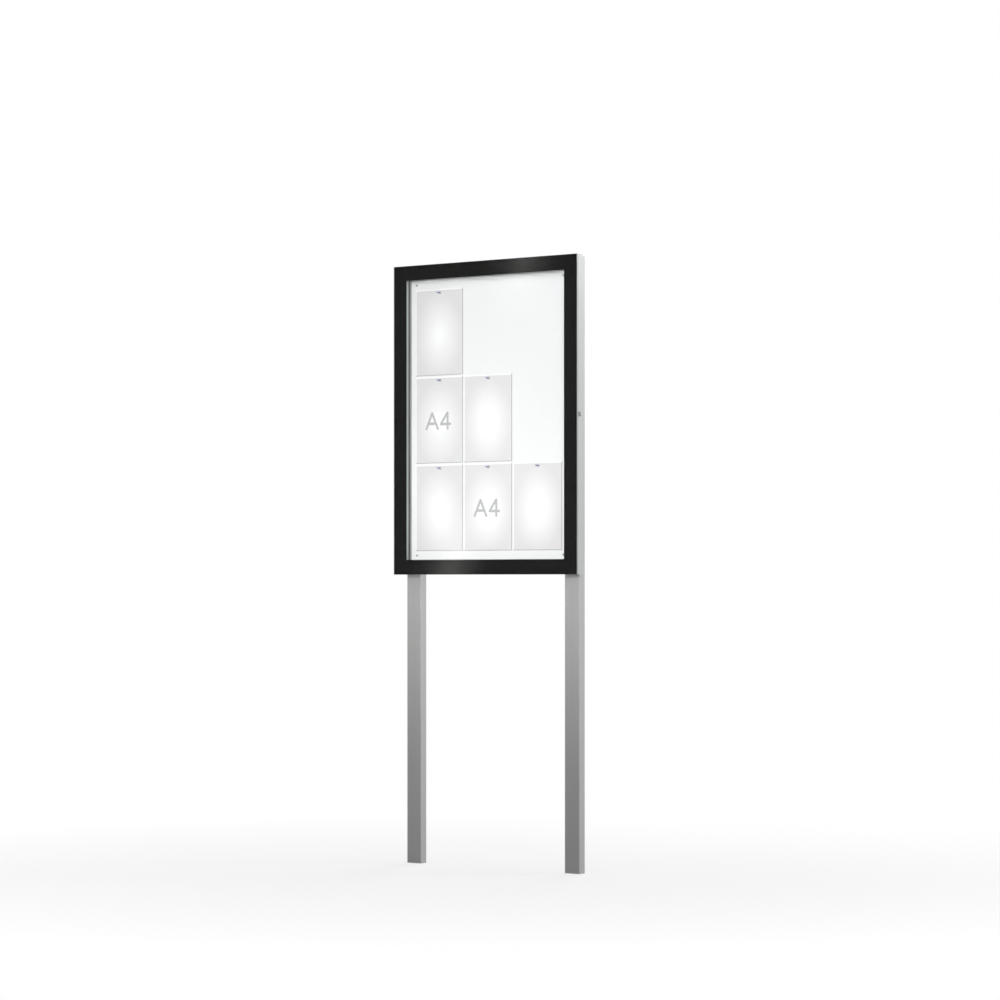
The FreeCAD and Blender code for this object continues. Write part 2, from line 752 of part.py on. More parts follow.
def hinge(name, level):
    """One hinge: the leaf on the case, the leaf on the door and the pin through both."""
    case_plate = [
        ("case_skin", PIVOT), ("case_skin + leaf_thick", PIVOT),
        ("case_skin + leaf_thick", CHAMBER + " - leaf_thick"),
        ("case_leaf_wide", CHAMBER + " - leaf_thick"), ("case_leaf_wide", CHAMBER),
        ("case_skin", CHAMBER)]
    third = "hinge_tall / 3"
    label = name + "_hinge_case_leaf"
    body = leaf(label, case_plate, [(third, third)], level)
    drill_leaf(body, label, "(case_skin + case_leaf_wide) / 2")
    door_plate = [
        ("pivot_inset", DOOR_REAR), (LEAF_END, DOOR_REAR),
        (LEAF_END, DOOR_REAR + " + leaf_thick"),
        ("pivot_inset", DOOR_REAR + " + leaf_thick")]
    label = name + "_hinge_door_leaf"
    bands = [("0", third + " + knuckle_gap"), ("2 * " + third + " - knuckle_gap",
                                              third + " + knuckle_gap")]
    body = leaf(label, door_plate, bands, level)
    drill_leaf(body, label, LEAF_SCREW)
    pin = doc.addObject("Part::Cylinder", name + "_hinge_pin")
    pin.Label = name + "_hinge_pin"
    pin.setExpression("Radius", bound("hinge_pin_dia / 2"))
    pin.setExpression("Height", bound("hinge_tall"))
    put(pin, "-case_wide / 2 + pivot_inset", FRONT + " + " + PIVOT,
        "case_low + " + level + " - hinge_tall / 2")
    parts.append(pin)


def small_screw():
    """A small screw that points forwards, its head behind."""
    return screw("small_screw", value("small_screw_long"))


def hinge_screws():
    """Screws of both hinges, in the case and in the door."""
    heights = []
    for level in hinge_levels():
        for side in (" + ", " - "):
            heights.append(value("case_low + " + level + side + "leaf_screw_apart / 2"))
    backward = small_screw()
    backward.rotate(FreeCAD.Vector(0, 0, 0), FreeCAD.Vector(0, 0, 1), 180)
    x = value("-case_wide / 2 + (case_skin + case_leaf_wide) / 2")
    y = value(FRONT + " + " + CHAMBER + " - leaf_thick")
    group("hinge_case_screws", backward, [(x, y, height) for height in heights])
    x = value("-case_wide / 2 + " + LEAF_SCREW)
    y = value(FRONT + " + " + DOOR_REAR + " + leaf_thick")
    group("hinge_door_screws", small_screw(), [(x, y, height) for height in heights])


# Lock

def put_lock(thing):
    put(thing, "case_wide / 2", FRONT + " + lock_deep", MIDDLE)


def lock_housing():
    """The lock's outer barrel with its round head, turned and bored through."""
    body = new_body("lock_housing")
    section = new_sketch(body, "XY_Plane", "housing_section")
    bore = "plug_dia / 2 + plug_play"
    outline(section, [
        (BARREL_END, bore), ("lock_head_high", bore),
        ("lock_head_high", "lock_head_dia / 2"), ("0", "lock_head_dia / 2"),
        ("0", "barrel_dia / 2"), (BARREL_END, "barrel_dia / 2")])
    revolve(body, section)
    put_lock(body)


def lock_nut():
    """The nut that draws the lock's head against the outer wall."""
    high = value("lock_nut_high")
    nut = hexagon(value("lock_nut_wide"), high)
    nut = ring(nut, value("barrel_dia / 2 + thread_fit"), 0, high)
    nut.rotate(FreeCAD.Vector(0, 0, 0), FreeCAD.Vector(0, 0, 1), 90)
    x = value("case_wide / 2 - case_skin")
    group("lock_nut", nut, [(x, value(FRONT + " + lock_deep"), value(MIDDLE))])


def lock_plug():
    """The part that the key turns: a plug with a key slot and a square tail."""
    body = new_body("lock_plug")
    section = new_sketch(body, "XY_Plane", "plug_section")
    outline(section, [
        (BARREL_END + " - cam_gap", "0"), ("lock_head_high + plug_proud", "0"),
        ("lock_head_high + plug_proud", "plug_dia / 2"),
        (BARREL_END + " - cam_gap", "plug_dia / 2")])
    revolve(body, section)
    tail = new_sketch(body, "YZ_Plane", "plug_tail", CAM_REAR)
    half = "cam_seat / 2"
    rectangle(tail, "-" + half, "-" + half, half, half)
    pad(body, tail, "cam_thick")
    slot = new_sketch(body, "YZ_Plane", "plug_slot", "lock_head_high + plug_proud")
    rectangle(slot, "-key_slot_wide / 2", "-key_slot_tall / 2", "key_slot_wide / 2",
              "key_slot_tall / 2")
    cut(body, slot, "key_slot_deep")
    bore = new_sketch(body, "YZ_Plane", "plug_screw_bore", CAM_REAR)
    circle(bore, "0", "0", "cam_screw_dia / 2 + thread_fit")
    cut(body, bore, "cam_screw_long", forward=True)
    put_lock(body)


def lock_cam():
    """The short arm on the plug's tail. Here it points forwards, clear of the catch."""
    body = new_body("lock_cam")
    tip = "(cam_reach - cam_wide / 2)"
    hub = new_sketch(body, "YZ_Plane", "cam_hub_outline", CAM_REAR)
    circle(hub, "0", "0", "cam_hub / 2")
    pad(body, hub, "cam_thick")
    arm = new_sketch(body, "YZ_Plane", "cam_arm_outline", CAM_REAR)
    rectangle(arm, "-" + tip, "-cam_wide / 2", "0", "cam_wide / 2")
    pad(body, arm, "cam_thick")
    end = new_sketch(body, "YZ_Plane", "cam_tip_outline", CAM_REAR)
    circle(end, "-" + tip, "0", "cam_wide / 2")
    pad(body, end, "cam_thick")
    seat = new_sketch(body, "YZ_Plane", "cam_seat_outline")
    half = "(cam_seat / 2 + thread_fit)"
    rectangle(seat, "-" + half, "-" + half, half, half)
    cut(body, seat)
    put_lock(body)


def cam_screw():
    """The screw that holds the cam on the plug."""
    bolt = screw("cam_screw", value("cam_screw_long - small_screw_fit"))
    bolt.rotate(FreeCAD.Vector(0, 0, 0), FreeCAD.Vector(0, 0, 1), 90)
    x = value("case_wide / 2 + " + CAM_REAR)
    group("cam_screw", bolt, [(x, value(FRONT + " + lock_deep"), value(MIDDLE))])


def lock_catch():
    """The folded plate on the door whose lip reaches behind the cam."""
    body = new_body("lock_catch")
    section = new_sketch(body, "XY_Plane", "catch_section")
    lip = "(lock_deep + cam_wide / 2 + catch_play)"
    outer = "(barrel_long + catch_gap)"
    web = "(door_inset - catch_thick - catch_gap)"
    points = [
        (outer, lip), (web, lip), (web, DOOR_REAR), (LEAF_END, DOOR_REAR),
        (LEAF_END, DOOR_REAR + " + catch_thick"),
        (web + " + catch_thick", DOOR_REAR + " + catch_thick"),
        (web + " + catch_thick", lip + " + catch_thick"), (outer, lip + " + catch_thick")]
    outline(section, [("-(%s)" % x, y) for x, y in points])
    pad(body, section, "catch_tall")
    holes = new_sketch(body, "XZ_Plane", "catch_holes")
    for side in (" + ", " - "):
        circle(holes, "-" + LEAF_SCREW,
               "catch_tall / 2" + side + "catch_screw_apart / 2",
               "small_screw_dia / 2 + small_screw_fit")
    cut(body, holes)
    put(body, "case_wide / 2", FRONT, MIDDLE + " + catch_low")


def catch_screws():
    x = value("case_wide / 2 - " + LEAF_SCREW)
    y = value(FRONT + " + " + DOOR_REAR + " + catch_thick")
    middle = MIDDLE + " + catch_low + catch_tall / 2"
    heights = [value(middle + side + "catch_screw_apart / 2") for side in (" + ", " - ")]
    group("catch_screws", small_screw(), [(x, y, height) for height in heights])


# Notices

def notice_places():
    """Name, column and row of each notice, counted from the lower left."""
    return [("notice_left_top", 0, 2), ("notice_left_middle", 0, 1),
            ("notice_left_bottom", 0, 0), ("notice_centre_middle", 1, 1),
            ("notice_centre_bottom", 1, 0), ("notice_right_bottom", 2, 0)]


def notice(label, column, row):
    """A sheet of paper flat against the panel."""
    paper = doc.addObject("Part::Box", label)
    paper.Label = label
    paper.setExpression("Length", bound("notice_wide"))
    paper.setExpression("Width", bound("notice_thick"))
    paper.setExpression("Height", bound("notice_tall"))
    put(paper, "-window_wide / 2 + margin_left + %d * (notice_wide + notice_gap)" % column,
        FRONT + " + " + PANEL_FRONT + " - notice_thick",
        "case_low + border_end + margin_low + %d * (notice_tall + notice_gap)" % row)
    parts.append(paper)


def magnets():
    """A disc magnet with a turned grip at the top of each notice, set a little to the right."""
    spots = []
    for label, column, row in notice_places():
        x = value("-window_wide / 2 + margin_left + notice_wide / 2 + magnet_aside"
                  " + %d * (notice_wide + notice_gap)" % column)
        z = value("case_low + border_end + margin_low + notice_tall - magnet_drop"
                  " + %d * (notice_tall + notice_gap)" % row)
        spots.append((x, z))
    face = value(FRONT + " + " + PANEL_FRONT + " - notice_thick")
    thick = value("magnet_thick")
    disc = prism(value("magnet_dia / 2"), FACETS, -thick, 0)
    group("magnet_discs", disc, [(x, face, z) for x, z in spots])
    head, waist, run = value("grip_dia / 2"), value("grip_waist / 2"), value("grip_long")
    rings = [(head, -run), (head, -run + head), (waist, -waist), (head, 0)]
    grip = Part.makeLoft([slice_wire(radius, FACETS, y) for radius, y in rings], True, True)
    group("magnet_grips", grip, [(x, face - thick, z) for x, z in spots])


def build():
    fill_sheet()
    post("left_post", -1)
    post("right_post", 1)
    post_cap("left_post_cap", -1)
    post_cap("right_post_cap", 1)
    rail("upper_rail", " + panel_screw_rise / 2")
    rail("lower_rail", " - panel_screw_rise / 2")
    rail_fasteners()
    case_left()
    case_right()
    case_ends()
    corner_brackets("case_corner_brackets", "case_bracket_set", "case_bracket_wide",
                    "case_bracket_long", CHAMBER + " + case_wall + bracket_fit",
                    "case_deep - case_wall - bracket_fit")
    display_panel()
    panel_fasteners()
    seals()
    door_glass()
    border_print()
    door_frame()
    corner_brackets("door_corner_brackets", "door_inset + door_bracket_set",
                    "door_bracket_wide", "door_bracket_long",
                    PRINT_REAR + " + door_wall + bracket_fit",
                    DOOR_REAR + " - door_wall - bracket_fit")
    for name, level in zip(("lower", "upper"), hinge_levels()):
        hinge(name, level)
    hinge_screws()
    lock_housing()
    lock_nut()
    lock_plug()
    lock_cam()
    cam_screw()
    lock_catch()
    catch_screws()
    for label, column, row in notice_places():
        notice(label, column, row)
    magnets()
    doc.recompute()


def write():
    """Check every object and write each piece under its own name."""
    for item in doc.Objects:
        if "Invalid" in item.State or "Error" in item.State:
            raise RuntimeError(item.Name + ": " + ", ".join(item.State))
    for item in parts:
        if item.Shape.isNull() or not item.Shape.isValid():
            raise RuntimeError(item.Label + " has no valid shape")
    os.makedirs("parts", exist_ok=True)
    for item in parts:
        item.Shape.exportStep("parts/%s.step" % item.Label)
    print(len(parts), "pieces written")


build()
write()
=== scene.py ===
"""Lockable notice board on two posts, dressed for its photograph.

An anodised aluminium case hangs on the front of two box-section posts. A glass door with a
black printed border closes it over a white panel with six sheets held by handled magnets.
"""

import math

import bmesh
import bpy
from mathutils import Matrix, Vector


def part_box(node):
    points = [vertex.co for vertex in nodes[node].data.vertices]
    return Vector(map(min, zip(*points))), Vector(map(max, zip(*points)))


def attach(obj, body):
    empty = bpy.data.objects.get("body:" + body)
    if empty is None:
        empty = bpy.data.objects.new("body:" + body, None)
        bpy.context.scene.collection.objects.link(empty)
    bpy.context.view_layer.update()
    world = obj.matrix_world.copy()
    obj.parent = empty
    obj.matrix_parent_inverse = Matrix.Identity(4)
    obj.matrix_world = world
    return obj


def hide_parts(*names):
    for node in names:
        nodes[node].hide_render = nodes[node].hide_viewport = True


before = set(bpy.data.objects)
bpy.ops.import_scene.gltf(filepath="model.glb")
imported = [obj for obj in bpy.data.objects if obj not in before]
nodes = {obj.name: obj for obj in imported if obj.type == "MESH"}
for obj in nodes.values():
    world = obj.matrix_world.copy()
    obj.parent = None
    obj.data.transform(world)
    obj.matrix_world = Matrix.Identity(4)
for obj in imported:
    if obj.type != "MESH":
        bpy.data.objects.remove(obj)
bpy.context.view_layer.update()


# The two posts are extruded aluminium box section, 62 by 32 mm with rounded corners, satin
# anodised in natural silver. The die leaves faint lines along them, and both ends are sawn square.
class Signal:
    """A socket that can be added, multiplied and so on, which lays the Math nodes down."""

    def __init__(self, tree, socket):
        self.tree = tree
        self.socket = socket

    def maths(self, operation, *values):
        node = self.tree.nodes.new("ShaderNodeMath")
        node.operation = operation
        for plug, given in zip(node.inputs, values):
            feed(plug, given)
        return Signal(self.tree, node.outputs[0])

    def __add__(self, other):
        return self.maths("ADD", self, other)

    def __radd__(self, other):
        return self.maths("ADD", other, self)

    def __sub__(self, other):
        return self.maths("SUBTRACT", self, other)

    def __rsub__(self, other):
        return self.maths("SUBTRACT", other, self)

    def __mul__(self, other):
        return self.maths("MULTIPLY", self, other)

    def __rmul__(self, other):
        return self.maths("MULTIPLY", other, self)

    def __mod__(self, other):
        return self.maths("FLOORED_MODULO", self, other)

    def __rmod__(self, other):
        return self.maths("FLOORED_MODULO", other, self)

    def __gt__(self, other):
        return self.maths("GREATER_THAN", self, other)

    def __lt__(self, other):
        return self.maths("LESS_THAN", self, other)

    def __abs__(self):
        return self.maths("ABSOLUTE", self)

    def __pow__(self, other):
        return self.maths("POWER", self, other)

    def __rpow__(self, other):
        return self.maths("POWER", other, self)

    def __or__(self, other):
        """1 where either of two masks is 1."""
        return self.maths("MAXIMUM", self, other)

    __ror__ = __or__


def feed(plug, given):
    """Links a signal to a node's socket, or sets a plain value there."""
    if isinstance(given, Signal):
        given.tree.links.new(given.socket, plug)
    else:
        plug.default_value = given


class Nodes:
    """The nodes of a material or of the world."""

    def __init__(self, tree):
        self.tree = tree

    def node(self, kind, settings=None, out=0, **sockets):
        """Lays a node down. A socket goes by its name, or as i0, i1 and so on by its number."""
        made = self.tree.nodes.new(kind)
        for name, given in (settings or {}).items():
            setattr(made, name, given)
        for name, given in sockets.items():
            feed(made.inputs[int(name[1:]) if name[1:].isdigit() else name.replace("_", " ")], given)
        return Signal(self.tree, made.outputs[out])

    def rays(self, *kinds):
        """1 for a ray of any of these kinds, 0 for every other ray."""
        mask, *others = [self.node("ShaderNodeLightPath", out=f"Is {kind} Ray") for kind in kinds]
        for other in others:
            mask = mask | other
        return mask


class Finish(Nodes):
    """One procedural finish: a Principled shader and the nodes that feed it."""

    def __init__(self, name, **plain):
        self.material = bpy.data.materials.new(name)
        self.material.use_nodes = True
        super().__init__(self.material.node_tree)
        self.shader = self.tree.nodes["Principled BSDF"]
        self.set(**plain)

    def set(self, **sockets):
        for name, given in sockets.items():
            feed(self.shader.inputs[name.replace("_", " ")], given)

    def body(self):
        """What the Principled shader gives, to be mixed with another shader."""
        return Signal(self.tree, self.shader.outputs[0])

    def show(self, surface):
        """Puts a mix of shaders on the surface in place of the Principled shader alone."""
        feed(self.tree.nodes["Material Output"].inputs["Surface"], surface)

    def place(self):
        """Where a point is on the object, in metres, carried with its mesh."""
        return self.node("ShaderNodeTexCoord", out="Object")

    def axes(self):
        """The x, the y and the z of that place."""
        return [self.node("ShaderNodeSeparateXYZ", out=axis, Vector=self.place()) for axis in "XYZ"]

    def stretched(self, x, y, z):
        return self.node(
            "ShaderNodeVectorMath", {"operation": "MULTIPLY"}, i0=self.place(), i1=(x, y, z)
        )

    def grain(self, vector, scale, detail):
        return self.node("ShaderNodeTexNoise", Vector=vector, Scale=scale, Detail=detail)

    def blend(self, mask, first, second):
        """The first colour where the mask is 0, the second where it is 1."""
        return self.node("ShaderNodeMix", {"data_type": "RGBA"}, out=2, i0=mask, i6=first, i7=second)

    def height(self, level, strength, distance):
        return self.node("ShaderNodeBump", Height=level, Strength=strength, Distance=distance)

    def wear(self, *names):
        """Puts this finish on CAD nodes, which keep their own meshes."""
        for name in names:
            for slot in nodes[name].material_slots:
                slot.material = self.material


def shade(hexadecimal):
    """A colour as it looks on a screen, such as #c6c8c7, in the renderer's linear values."""
    parts = [int(hexadecimal[i:i + 2], 16) / 255 for i in (1, 3, 5)]
    return (*[p / 12.92 if p <= 0.04045 else ((p + 0.055) / 1.055) ** 2.4 for p in parts], 1.0)


post_silver = Finish("post_anodised_silver", Metallic=0.12, IOR=1.5)
die_lines = post_silver.grain(post_silver.stretched(900, 900, 1.2), 1.0, 3.0)
cloud = post_silver.grain(post_silver.stretched(1, 1, 0.35), 9.0, 3.0)
post_silver.set(
    Base_Color=post_silver.blend(die_lines * 0.5 + cloud * 0.5, shade("#9b9c9b"), shade("#a5a6a5")),
    Roughness=0.36 + die_lines * 0.10 + cloud * 0.06,
    Normal=post_silver.height(die_lines, 0.25, 0.00004),
)
post_silver.wear("left_post", "right_post")


# The ends of the posts are closed by grey moulded polypropylene caps with a fine spark-eroded
# texture, pushed into the tubes and held by their skirts.
cap_grey = Finish("cap_moulded_plastic", IOR=1.46)
spark = cap_grey.grain(cap_grey.place(), 1400.0, 2.0)
cap_grey.set(
    Base_Color=cap_grey.blend(spark, shade("#6c6e6f"), shade("#7b7d7e")),
    Roughness=0.5 + spark * 0.12,
    Normal=cap_grey.height(spark, 0.4, 0.00008),
)
cap_grey.wear("left_post_cap", "right_post_cap")


# Two channels of folded steel cross behind the case from post to post. They are hot-dip
# galvanised, and the zinc shows as a pale spangle that changes from crystal to crystal.
zinc = Finish("rail_galvanised_zinc", Metallic=0.85, IOR=1.5)
spangle = zinc.node("ShaderNodeTexVoronoi", Vector=zinc.place(), Scale=95.0)
zinc_cloud = zinc.grain(zinc.place(), 22.0, 4.0)
zinc.set(
    Base_Color=zinc.blend(spangle * 0.6 + zinc_cloud * 0.4, shade("#9a9da0"), shade("#b6b9bb")),
    Roughness=0.38 + spangle * 0.16 + zinc_cloud * 0.08,
    Normal=zinc.height(spangle, 0.12, 0.0001),
)
zinc.wear("upper_rail", "lower_rail")


# Each rail is drawn against each post by a hexagon-head bolt from behind, with a flat washer
# under its head and a nut welded inside the channel. They are cold formed and zinc plated.
WELD = 0.000001


def solids(name):
    """The lowest and the highest corner of each separate solid of a CAD node."""
    build = bmesh.new()
    build.from_mesh(nodes[name].data)
    bmesh.ops.remove_doubles(build, verts=build.verts[:], dist=WELD)
    left = set(build.verts)
    found = []
    while left:
        reached = [left.pop()]
        for point in reached:
            for edge in point.link_edges:
                other = edge.other_vert(point)
                if other in left:
                    left.discard(other)
                    reached.append(other)
        low = Vector([min(point.co[i] for point in reached) for i in range(3)])
        high = Vector([max(point.co[i] for point in reached) for i in range(3)])
        found.append((low, high))
    build.free()
    return sorted(found, key=lambda corners: tuple(corners[0]))


def turn(build, foot, along, profile, sides=40, closed=False):
    """Spins (far, radius) points round a level axis. Either may be a function of the angle."""
    aside = Vector((0.0, 0.0, 1.0))
    other = along.cross(aside)
    rings = []
    for far, radius in profile:
        ring = []
        for step in range(1 if radius == 0 else sides):
            angle = 2 * math.pi * step / sides
            reach = far(angle) if callable(far) else far
            out = radius(angle) if callable(radius) else radius
            way = aside * math.cos(angle) + other * math.sin(angle)
            ring.append(build.verts.new(foot + along * reach + way * out))
        rings.append(ring)
    pairs = list(zip(rings, rings[1:]))
    if closed:
        pairs.append((rings[-1], rings[0]))
    for first, second in pairs:
        for step in range(sides):
            corners = [
                first[step % len(first)], first[(step + 1) % sides % len(first)],
                second[(step + 1) % sides % len(second)], second[step % len(second)],
            ]
            build.faces.new(list(dict.fromkeys(corners)))
    return rings[-1]


SHARP = math.radians(35.0)


def piece(name, build, body, finish, slot, *stands_for):
    """Makes a smooth piece of the mesh that rides on a body and stands for CAD nodes."""
    bmesh.ops.recalc_face_normals(build, faces=build.faces[:])
    mesh = bpy.data.meshes.new(name)
    build.to_mesh(mesh)
    build.free()
    mesh.shade_smooth()
    mesh.set_sharp_from_angle(angle=SHARP)
    mesh.materials.append(finish.material)
    made = bpy.data.objects.new(name, mesh)
    bpy.context.scene.collection.objects.link(made)
    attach(made, body)
    if stands_for:
        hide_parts(*stands_for)


SIXTH = math.radians(60.0)
CHAMFER_SLOPE = math.tan(math.radians(30.0))
CROWN_SHARE = 0.95


def hexagon(flats, high, up):
    """How far out the flats are at an angle, and how far the chamfer leaves them up (1) or down (-1)."""
    crown = CROWN_SHARE * flats / 2

    def out(angle):
        return flats / 2 / math.cos(angle % SIXTH - SIXTH / 2)

    def shoulder(angle):
        return up * (high - (out(angle) - crown) * CHAMFER_SLOPE)

    return out, shoulder, crown


plated = Finish("fastener_zinc_plate", Metallic=0.9, IOR=1.5)
plate_grain = plated.grain(plated.place(), 900.0, 2.0)
plated.set(
    Base_Color=plated.blend(plate_grain, shade("#8d9092"), shade("#a9acad")),
    Roughness=0.28 + plate_grain * 0.16,
    Normal=plated.height(plate_grain, 0.15, 0.00003),
)

REARWARD = Vector((0.0, 1.0, 0.0))
FORWARD = Vector((0.0, -1.0, 0.0))
BOLT_RADIUS = 0.004
BOLT_LEAD = 0.001
DIMPLE_DEEP = 0.0003
DIMPLE_MOUTH = 0.8
DIMPLE_FLOOR = 0.72
SOFT_EDGE = 0.0003
WASHER_PLAY = 0.0002

build = bmesh.new()
for (low, high), (_, washer_high) in zip(solids("rail_bolts"), solids("rail_washers")):
    seat = Vector(((low.x + high.x) / 2, washer_high.y, (low.z + high.z) / 2))
    head_high = high.y - washer_high.y
    run = washer_high.y - low.y
    out, shoulder, crown = hexagon(high.x - low.x, head_high, 1)
    turn(build, seat, REARWARD, [
        (-run, 0), (-run, BOLT_RADIUS - BOLT_LEAD / 2), (-run + BOLT_LEAD, BOLT_RADIUS),
        (0, BOLT_RADIUS), (0, out), (shoulder, out), (head_high, crown),
        (head_high, crown * DIMPLE_MOUTH), (head_high - DIMPLE_DEEP, crown * DIMPLE_FLOOR),
        (head_high - DIMPLE_DEEP, 0),
    ], sides=48)
piece("hexagon_head_bolts", build, "board", plated, "zinc_steel", "rail_bolts")

build = bmesh.new()
for low, high in solids("rail_washers"):
    seat = Vector(((low.x + high.x) / 2, low.y, (low.z + high.z) / 2))
    thick, rim, bore = high.y - low.y, (high.z - low.z) / 2, BOLT_RADIUS + WASHER_PLAY
    turn(build, seat, REARWARD, [
        (0, bore), (0, rim - SOFT_EDGE), (SOFT_EDGE, rim), (thick - SOFT_EDGE, rim),
        (thick, rim - SOFT_EDGE), (thick, bore),
    ], sides=48, closed=True)
piece("flat_washers", build, "board", plated, "zinc_steel", "rail_washers")


def nuts(name, node, bore):
    """Hexagon nuts, chamfered at both ends and open to the bolt."""
    build = bmesh.new()
    for low, high in solids(node):
        middle = (low + high) / 2
        half = (high.y - low.y) / 2
        out, upper, crown = hexagon(high.x - low.x, half, 1)
        lower = hexagon(high.x - low.x, half, -1)[1]
        turn(build, middle, REARWARD, [
            (-half, bore), (-half, crown), (lower, out), (upper, out), (half, crown), (half, bore),
        ], sides=48, closed=True)
    piece(name, build, "board", plated, "zinc_steel", node)


nuts("welded_rail_nuts", "rail_nuts", BOLT_RADIUS)


# The case is four mitred lengths of aluminium extrusion with a hollow outer wall, held square
# by corner cleats. It has the same satin anodising as the posts, a little lighter.
case_silver = Finish("case_anodised_silver", Metallic=0.22, IOR=1.5)
long_ways = case_silver.grain(case_silver.stretched(2.0, 900, 2.0), 1.0, 3.0)
case_cloud = case_silver.grain(case_silver.place(), 7.0, 3.0)
case_silver.set(
    Base_Color=case_silver.blend(long_ways * 0.5 + case_cloud * 0.5, shade("#949695"), shade("#9ea09f")),
    Roughness=0.34 + long_ways * 0.10 + case_cloud * 0.06,
    Normal=case_silver.height(long_ways, 0.2, 0.00004),
)
case_silver.wear("case_left", "case_right", "case_top", "case_bottom", "case_corner_brackets")


# The door frame is a mitred ring of small aluminium box bars, bonded to the rear of the glass.
# It is anodised like the case.
door_silver = Finish("door_anodised_silver", Metallic=0.3, IOR=1.5)
door_lines = door_silver.grain(door_silver.stretched(2.0, 900, 2.0), 1.0, 3.0)
door_silver.set(
    Base_Color=door_silver.blend(door_lines, shade("#a9aeac"), shade("#b6bbb9")),
    Roughness=0.36 + door_lines * 0.12,
    Normal=door_silver.height(door_lines, 0.2, 0.00004),
)
door_silver.wear("door_left", "door_right", "door_top", "door_bottom", "door_corner_brackets")


# The pane is 4 mm toughened safety glass, very slightly green, with a coat that takes most of the
# glare off its face. Its edge is ground and frosted; its front part is painted dark, a painted
# reflection of the black enamel inside.
pane = Finish("pane_clear_glass", IOR=1.2, Transmission_Weight=1.0)
pane_wipe = pane.grain(pane.place(), 5.0, 3.0)
pane.set(
    Base_Color=pane.blend(pane_wipe, (0.994, 0.998, 0.996, 1.0), (0.997, 1.0, 0.998, 1.0)),
    Roughness=pane_wipe * 0.01,
)
pane_low, pane_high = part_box("door_glass")
RIM = 0.0004
PAINTED_REFLECTION_DEEP = 0.0024
EDGE_ROUGH = 0.45
pane_x, pane_y, pane_z = pane.axes()
at_edge = (abs(pane_x) > pane_high.x - RIM) | (pane_z > pane_high.z - RIM) | (pane_z < pane_low.z + RIM)
# The front part of the edge is painted dark as a painted reflection of the black enamel; the rear part
# keeps its frosted colour.
edge_frost_and_painted_reflection = pane.blend(pane_y < pane_low.y + PAINTED_REFLECTION_DEEP, shade("#c9cfcb"), shade("#1c1e1d"))
edge = pane.node("ShaderNodeBsdfPrincipled", Base_Color=edge_frost_and_painted_reflection, Roughness=EDGE_ROUGH)
body_or_edge = pane.node("ShaderNodeMixShader", Fac=at_edge, i1=pane.body(), i2=edge)
clear = pane.node("ShaderNodeBsdfTransparent", Color=(0.998, 1.0, 0.999, 1.0))
lighting = pane.rays("Shadow", "Diffuse")
pane.show(pane.node("ShaderNodeMixShader", Fac=lighting, i1=body_or_edge, i2=clear))
pane.wear("door_glass")


# The border is black ceramic enamel, screen printed on the rear of the pane and fired, so it
# hides the frame and the seal. It is seen through the glass, with a slight mottle in the film.
enamel = Finish("border_black_enamel", IOR=1.5, Specular_IOR_Level=0.1)
film = enamel.grain(enamel.place(), 260.0, 3.0)
enamel.set(
    Base_Color=enamel.blend(film, (0.0026, 0.0026, 0.0025, 1.0), (0.0042, 0.0042, 0.0040, 1.0)),
    Roughness=0.32 + film * 0.14,
    Normal=enamel.height(film, 0.1, 0.00003),
)
enamel.wear("border_print")


# Hollow EPDM strips run round the front of the case, and the door presses them shut. They are
# cut square at the corners and have a dull, slightly dusty skin.
rubber = Finish("seal_black_rubber", IOR=1.5)
skin = rubber.grain(rubber.place(), 420.0, 3.0)
rubber.set(
    Base_Color=rubber.blend(skin, (0.022, 0.024, 0.024, 1.0), (0.036, 0.038, 0.038, 1.0)),
    Roughness=0.62 + skin * 0.15,
    Normal=rubber.height(skin, 0.3, 0.0001),
)
rubber.wear("seal_left", "seal_right", "seal_top", "seal_bottom")


# The rear panel is steel sheet, powder coated white, that slides in a groove of the case bars
# and carries the magnets. The coat is nearly matt, with the low orange peel of a cured powder.
panel_white = Finish("panel_white_powder", IOR=1.5, Specular_IOR_Level=0.12)
peel = panel_white.grain(panel_white.place(), 520.0, 1.0)
panel_white.set(
    Base_Color=panel_white.blend(peel, shade("#e9eaea"), shade("#eeefef")),
    Roughness=0.42 + peel * 0.08,
    Normal=panel_white.height(peel, 0.15, 0.0001),
)
panel_white.wear("display_panel")


# Pan-head screws go through the corners of the panel and spacer rings into nuts behind the
# rails, so the case hangs on the rails. Their heads are domed, with a cross recess.
SCREW_SIDES = 32
LEAD_SHARE = 0.15
DOME = ((0.0, 0.95), (0.10, 1.0), (0.45, 0.98), (0.72, 0.90), (0.90, 0.78), (1.0, 0.62))
ARM_WIDE = 0.075
ARM_REACH = 0.27
RECESS_FLOOR = 0.2
RECESS_TAPER = 0.6


